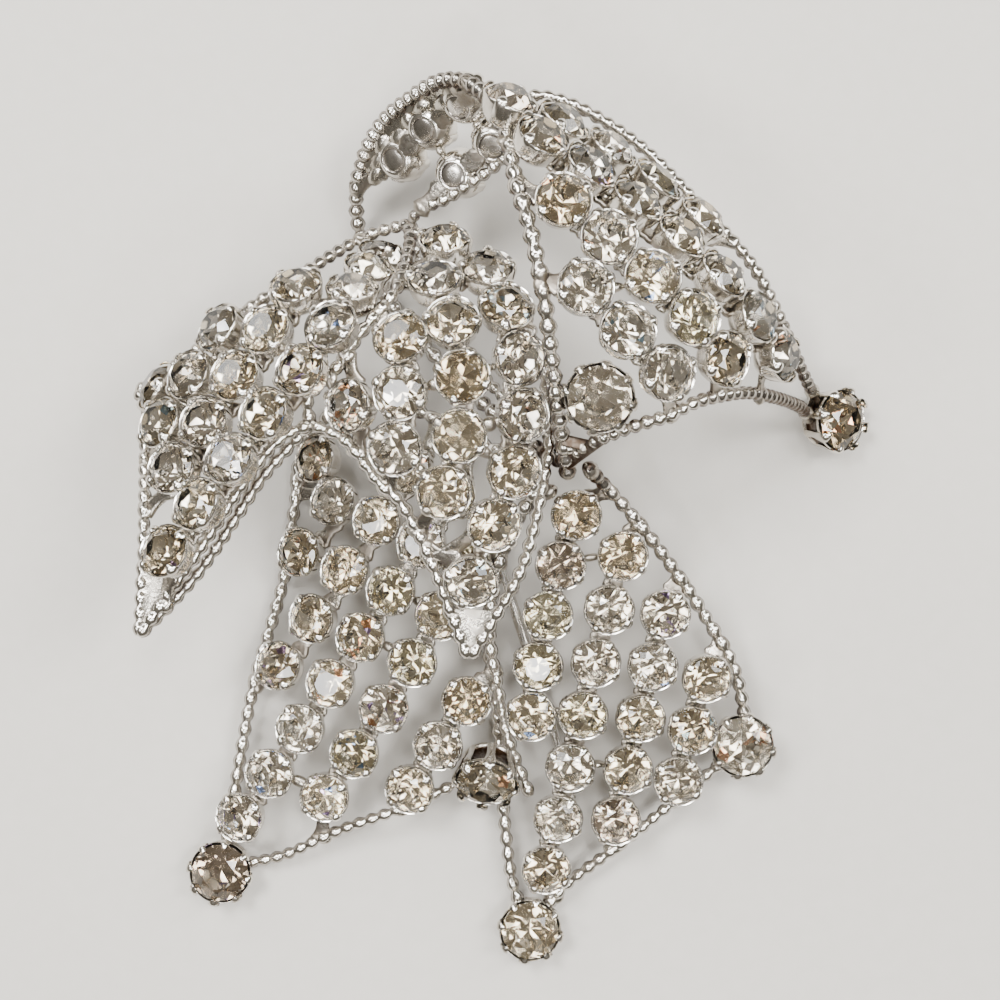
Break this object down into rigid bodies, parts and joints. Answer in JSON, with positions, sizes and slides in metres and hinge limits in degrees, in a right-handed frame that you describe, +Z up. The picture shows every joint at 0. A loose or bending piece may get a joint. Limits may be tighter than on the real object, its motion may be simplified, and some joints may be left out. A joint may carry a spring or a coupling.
{
  "type": "rhinestone brooch",
  "caption": "Folded ribbon bow brooch of clear rhinestone rows in prong cups, with beaded wire edges and a pin stem at the back.",
  "frame": {"origin": "middle of the part's box on the table that it lies on", "axes": "+Z is up, out of the front of the brooch, +Y towards the top of the bow, +X towards the wearer's left"},
  "size_m": [0.0647, 0.0772, 0.0302],
  "materials": {
    "plated_metal": "bright silver-tone plating, slightly warm",
    "pin_metal": "polished steel wire",
    "rhinestone": "clear cut glass with a foiled back"
  },
  "bodies": {
    "root": {"right_loop_frame": "plated_metal", "left_wing_frame": "plated_metal", "left_tail_frame": "plated_metal", "right_tail_frame": "plated_metal", "back_pin": "pin_metal", "right_loop_stones": "rhinestone", "front_leaf_stones": "rhinestone", "left_leaf_stones": "rhinestone", "left_tail_stones": "rhinestone", "right_tail_stones": "rhinestone", "center_stone": "rhinestone", "loop_tip_stone": "rhinestone", "left_tail_tip_stone": "rhinestone", "left_tail_corner_stone": "rhinestone", "right_tail_corner_stone": "rhinestone", "right_tail_tip_stone": "rhinestone"}
  },
  "joints": []
}
